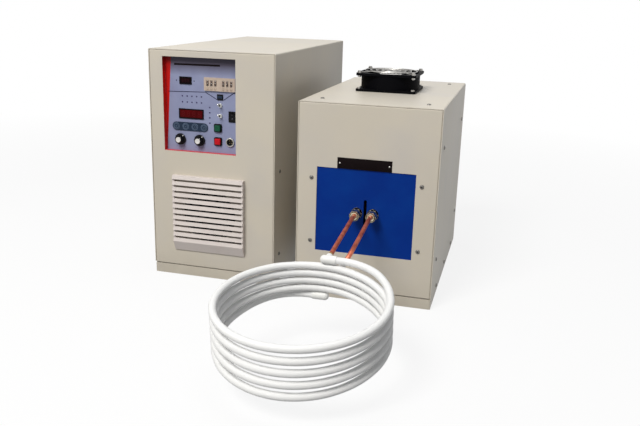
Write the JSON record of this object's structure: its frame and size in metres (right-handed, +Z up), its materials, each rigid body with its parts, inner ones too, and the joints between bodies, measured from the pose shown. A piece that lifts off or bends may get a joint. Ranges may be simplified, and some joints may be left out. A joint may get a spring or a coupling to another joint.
{
  "type": "induction heater",
  "caption": "Induction heater with a power cabinet, a work head beside it and a water-cooled, white-sleeved copper coil reaching out in front.",
  "frame": {"origin": "middle of the power cabinet's base, on the floor", "axes": "+Z up, -Y towards the user at the control panel, +X from the power cabinet to the work head"},
  "size_m": [0.6004, 1.0894, 0.473],
  "materials": {
    "cabinet_paint": "fine textured powder coat, warm light beige grey",
    "panel_paint": "satin lavender blue grey paint",
    "grille_plastic": "smooth matte ivory moulding",
    "black_plastic": "fine matte black moulding",
    "display_plastic": "glossy black with a dark red glass",
    "cream_plastic": "smooth cream moulding",
    "green_plastic": "glossy green",
    "red_plastic": "glossy red",
    "keypad_plastic": "dark teal moulding",
    "key_plastic": "dark teal key",
    "lamp_plastic": "translucent red lamp lens",
    "switch_metal": "bright plated metal",
    "knob_plastic": "black knob with a bright cap",
    "zinc_steel": "zinc plated steel",
    "bare_steel": "laminated steel",
    "sink_aluminium": "extruded, plain",
    "brass_metal": "turned brass, light satin",
    "copper_metal": "drawn copper, satin",
    "white_sleeve": "woven white glass sleeve, resin coated",
    "white_boot": "smooth white moulded boot",
    "blue_board": "blue insulating laminate",
    "label_black": "bare black plate",
    "circuit_green": "solder masked board",
    "capacitor_case": "sleeved case",
    "module_case": "moulded power module",
    "gland_plastic": "black polyamide"
  },
  "bodies": {
    "housing": {"power_base_pan": "cabinet_paint", "power_cover": "cabinet_paint", "power_front_panel": "cabinet_paint", "power_rear_panel": "cabinet_paint", "control_panel": "panel_paint", "current_meter": "display_plastic", "main_display": "display_plastic", "thumbwheel_block": "cream_plastic", "switch_bezels": "black_plastic", "indicator_lamps": "lamp_plastic", "control_bodies": "switch_metal", "keypad_bezel": "keypad_plastic", "footswitch_socket": "zinc_steel", "control_board": "circuit_green", "intake_grille": "grille_plastic", "power_fan_frame": "black_plastic", "top_fan_frame": "black_plastic", "fan_guard": "zinc_steel", "fan_screws": "zinc_steel", "power_heatsink": "sink_aluminium", "inverter_modules": "module_case", "capacitors": "capacitor_case", "head_base_pan": "cabinet_paint", "head_cover": "cabinet_paint", "head_front_panel": "cabinet_paint", "head_rear_panel": "cabinet_paint", "terminal_board": "blue_board", "name_plate": "label_black", "case_screws": "zinc_steel", "terminal_studs": "brass_metal", "union_nuts": "brass_metal", "coil_winding": "copper_metal", "coil_sleeve": "white_sleeve", "coil_legs": "copper_metal", "coil_boots": "white_boot", "transformer_core": "bare_steel", "transformer_copper": "copper_metal", "hose_spigots": "brass_metal", "cable_studs": "brass_metal", "mains_gland": "gland_plastic"},
    "power_rocker_body": {"power_rocker": "black_plastic"},
    "upper_toggle_body": {"upper_toggle": "switch_metal"},
    "lower_toggle_body": {"lower_toggle": "switch_metal"},
    "left_knob_body": {"left_knob": "knob_plastic"},
    "right_knob_body": {"right_knob": "knob_plastic"},
    "start_button_body": {"start_button": "green_plastic"},
    "stop_button_body": {"stop_button": "red_plastic"},
    "mode_button_body": {"mode_button": "black_plastic"},
    "keypad_key_1_body": {"keypad_key_1": "key_plastic"},
    "keypad_key_2_body": {"keypad_key_2": "key_plastic"},
    "keypad_key_3_body": {"keypad_key_3": "key_plastic"},
    "keypad_key_4_body": {"keypad_key_4": "key_plastic"},
    "top_fan_rotor_body": {"top_fan_rotor": "black_plastic"},
    "power_fan_rotor_body": {"power_fan_rotor": "black_plastic"},
    "thumbwheel_1_body": {"thumbwheel_1": "cream_plastic"},
    "thumbwheel_2_body": {"thumbwheel_2": "cream_plastic"},
    "thumbwheel_3_body": {"thumbwheel_3": "cream_plastic"},
    "thumbwheel_4_body": {"thumbwheel_4": "cream_plastic"},
    "thumbwheel_5_body": {"thumbwheel_5": "cream_plastic"},
    "thumbwheel_6_body": {"thumbwheel_6": "cream_plastic"}
  },
  "joints": [
    {"name": "power_rocker_tip", "type": "hinge", "parent": "housing", "child": "power_rocker_body", "pos_m": [0.0404, -0.262, 0.3448], "axis": [1, 0, 0], "range_deg": [-20, 0]},
    {"name": "upper_toggle_tip", "type": "hinge", "parent": "housing", "child": "upper_toggle_body", "pos_m": [0.015, -0.26225, 0.3666], "axis": [1, 0, 0], "range_deg": [0, 24]},
    {"name": "lower_toggle_tip", "type": "hinge", "parent": "housing", "child": "lower_toggle_body", "pos_m": [0.015, -0.26225, 0.3456], "axis": [1, 0, 0], "range_deg": [0, 24]},
    {"name": "left_knob_turn", "type": "hinge", "parent": "housing", "child": "left_knob_body", "pos_m": [-0.073, -0.263, 0.2924], "axis": [0, -1, 0], "range_deg": [-105, 195]},
    {"name": "right_knob_turn", "type": "hinge", "parent": "housing", "child": "right_knob_body", "pos_m": [-0.0306, -0.263, 0.2924], "axis": [0, -1, 0], "range_deg": [-105, 195]},
    {"name": "start_button_press", "type": "slide", "parent": "housing", "child": "start_button_body", "axis": [0, 1, 0], "range_m": [0, 0.003], "stiffness_N_per_m": 400},
    {"name": "stop_button_press", "type": "slide", "parent": "housing", "child": "stop_button_body", "axis": [0, 1, 0], "range_m": [0, 0.003], "stiffness_N_per_m": 400},
    {"name": "mode_button_press", "type": "slide", "parent": "housing", "child": "mode_button_body", "axis": [0, 1, 0], "range_m": [0, 0.0008], "stiffness_N_per_m": 800},
    {"name": "keypad_key_1_press", "type": "slide", "parent": "housing", "child": "keypad_key_1_body", "axis": [0, 1, 0], "range_m": [0, 0.0005], "stiffness_N_per_m": 1000},
    {"name": "keypad_key_2_press", "type": "slide", "parent": "housing", "child": "keypad_key_2_body", "axis": [0, 1, 0], "range_m": [0, 0.0005], "stiffness_N_per_m": 1000},
    {"name": "keypad_key_3_press", "type": "slide", "parent": "housing", "child": "keypad_key_3_body", "axis": [0, 1, 0], "range_m": [0, 0.0005], "stiffness_N_per_m": 1000},
    {"name": "keypad_key_4_press", "type": "slide", "parent": "housing", "child": "keypad_key_4_body", "axis": [0, 1, 0], "range_m": [0, 0.0005], "stiffness_N_per_m": 1000},
    {"name": "thumbwheel_1_turn", "type": "hinge", "parent": "housing", "child": "thumbwheel_1_body", "pos_m": [-0.0107, -0.2592, 0.4095], "axis": [1, 0, 0], "continuous": true},
    {"name": "thumbwheel_2_turn", "type": "hinge", "parent": "housing", "child": "thumbwheel_2_body", "pos_m": [-0.0023, -0.2592, 0.4095], "axis": [1, 0, 0], "continuous": true},
    {"name": "thumbwheel_3_turn", "type": "hinge", "parent": "housing", "child": "thumbwheel_3_body", "pos_m": [0.0061, -0.2592, 0.4095], "axis": [1, 0, 0], "continuous": true},
    {"name": "thumbwheel_4_turn", "type": "hinge", "parent": "housing", "child": "thumbwheel_4_body", "pos_m": [0.0229, -0.2592, 0.4095], "axis": [1, 0, 0], "continuous": true},
    {"name": "thumbwheel_5_turn", "type": "hinge", "parent": "housing", "child": "thumbwheel_5_body", "pos_m": [0.0313, -0.2592, 0.4095], "axis": [1, 0, 0], "continuous": true},
    {"name": "thumbwheel_6_turn", "type": "hinge", "parent": "housing", "child": "thumbwheel_6_body", "pos_m": [0.0397, -0.2592, 0.4095], "axis": [1, 0, 0], "continuous": true},
    {"name": "top_fan_spin", "type": "hinge", "parent": "housing", "child": "top_fan_rotor_body", "pos_m": [0.317, -0.037, 0.391], "axis": [0, 0, 1], "continuous": true},
    {"name": "power_fan_spin", "type": "hinge", "parent": "housing", "child": "power_fan_rotor_body", "pos_m": [-0.0072, -0.2735, 0.138], "axis": [0, 1, 0], "continuous": true}
  ]
}
